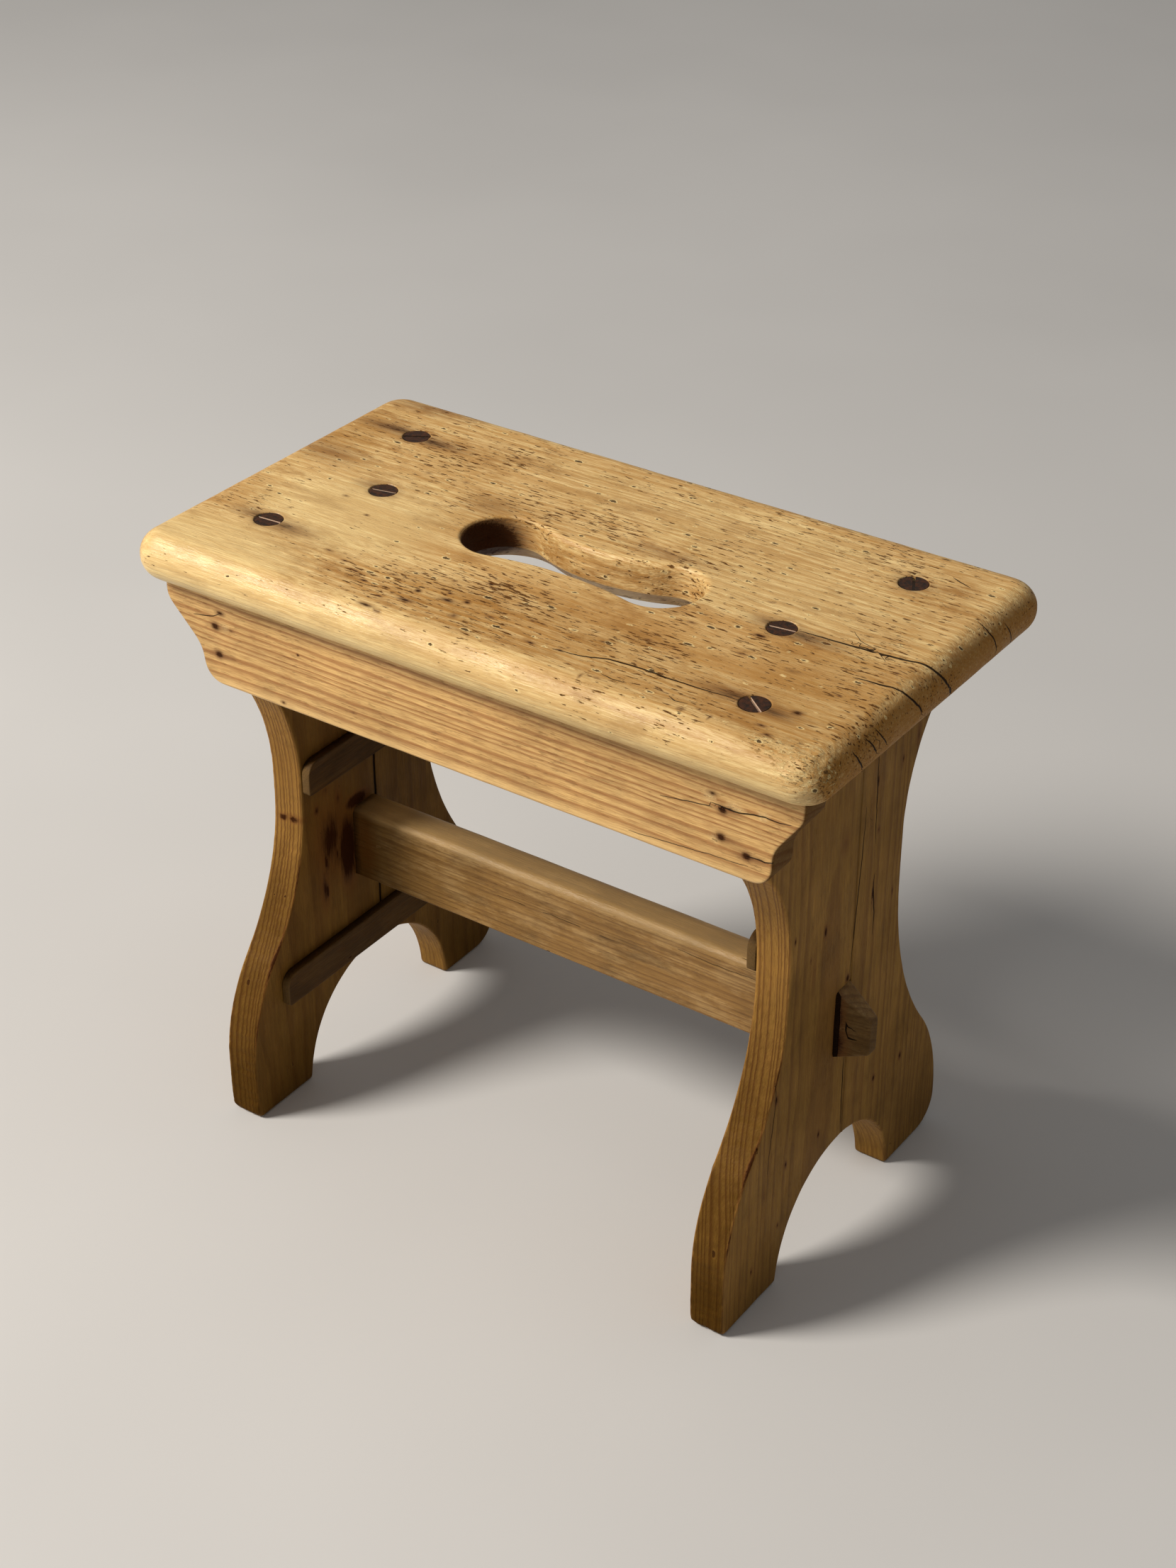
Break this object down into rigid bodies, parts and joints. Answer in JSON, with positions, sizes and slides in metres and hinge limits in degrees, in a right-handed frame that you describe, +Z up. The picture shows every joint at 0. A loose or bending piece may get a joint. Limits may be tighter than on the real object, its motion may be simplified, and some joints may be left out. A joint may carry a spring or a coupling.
{
  "type": "shoe fitting stool",
  "caption": "Low pine stool with a hand slot in its seat, a shaped front apron, arched board ends and a through-tenoned stretcher.",
  "frame": {"origin": "middle of the footprint, on the floor", "axes": "+X along the seat to its right end, +Y from the apron at the front to the back, +Z up"},
  "size_m": [0.353, 0.1924, 0.305],
  "materials": {
    "seat_pine": "old honey-coloured pine, sanded and waxed, with dark dents and checks",
    "apron_pine": "old pine with reddish growth lines along its length, waxed",
    "end_pine": "old brown pine with its grain upright, waxed",
    "lath_pine": "old brown pine lath, dull",
    "cleat_pine": "sawn pine, dull",
    "stretcher_pine": "old pine with worn top edges, waxed",
    "screw_steel": "darkened slotted wood screws",
    "nail_iron": "rust-blackened nail heads"
  },
  "bodies": {
    "root": {"seat_board": "seat_pine", "front_apron": "apron_pine", "left_front_board": "end_pine", "left_back_board": "end_pine", "right_front_board": "end_pine", "right_back_board": "end_pine", "left_upper_lath": "lath_pine", "left_lower_lath": "lath_pine", "right_upper_lath": "lath_pine", "right_lower_lath": "lath_pine", "left_cleat": "cleat_pine", "right_cleat": "cleat_pine", "stretcher": "stretcher_pine", "seat_screws": "screw_steel", "apron_nails": "nail_iron", "lath_nails": "nail_iron"}
  },
  "joints": []
}
